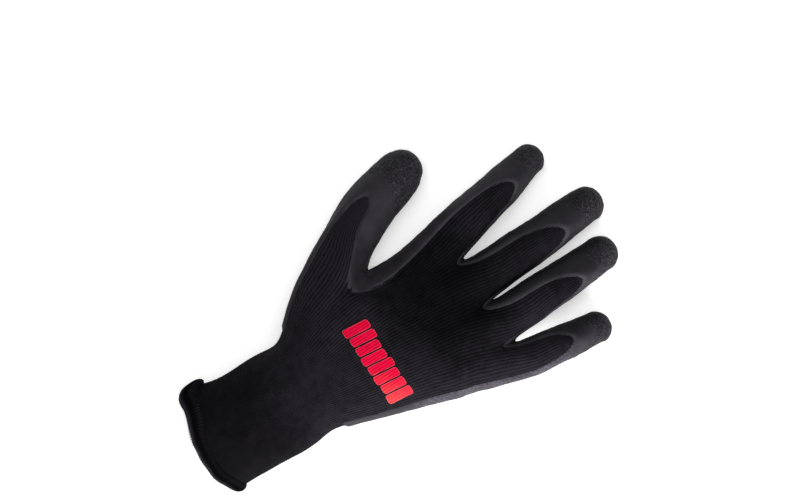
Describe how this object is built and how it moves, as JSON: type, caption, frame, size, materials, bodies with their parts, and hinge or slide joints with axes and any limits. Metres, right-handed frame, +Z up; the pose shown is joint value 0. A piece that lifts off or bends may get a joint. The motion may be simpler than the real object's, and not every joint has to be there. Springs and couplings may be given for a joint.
{
  "type": "coated knit work glove",
  "caption": "Seamless knitted right-hand glove with a crinkled latex palm and fingertips, knitted cuff, overlocked hem and printed back band.",
  "frame": {"origin": "on the surface that the glove lies on, under the middle of the heel of the palm, 30 mm to the fingers' side of the wrist seam", "axes": "+Y from the wrist to the fingertips, +X to the little finger's side, +Z up through the back of the hand"},
  "size_m": [0.144, 0.2524, 0.0419],
  "materials": {
    "liner_knit": "matte black plain knit, fine ribs along the hand",
    "palm_latex": "matte dark grey crinkled latex, smooth along its edges",
    "cuff_knit": "matte black elastic knit",
    "hem_overlock": "matte black overlock stitching",
    "back_print": "red heat-set print, slightly glossy"
  },
  "bodies": {
    "root": {"knit_liner": "liner_knit", "palm_coat": "palm_latex", "knit_cuff": "cuff_knit", "cuff_hem": "hem_overlock", "back_print": "back_print"}
  },
  "joints": []
}
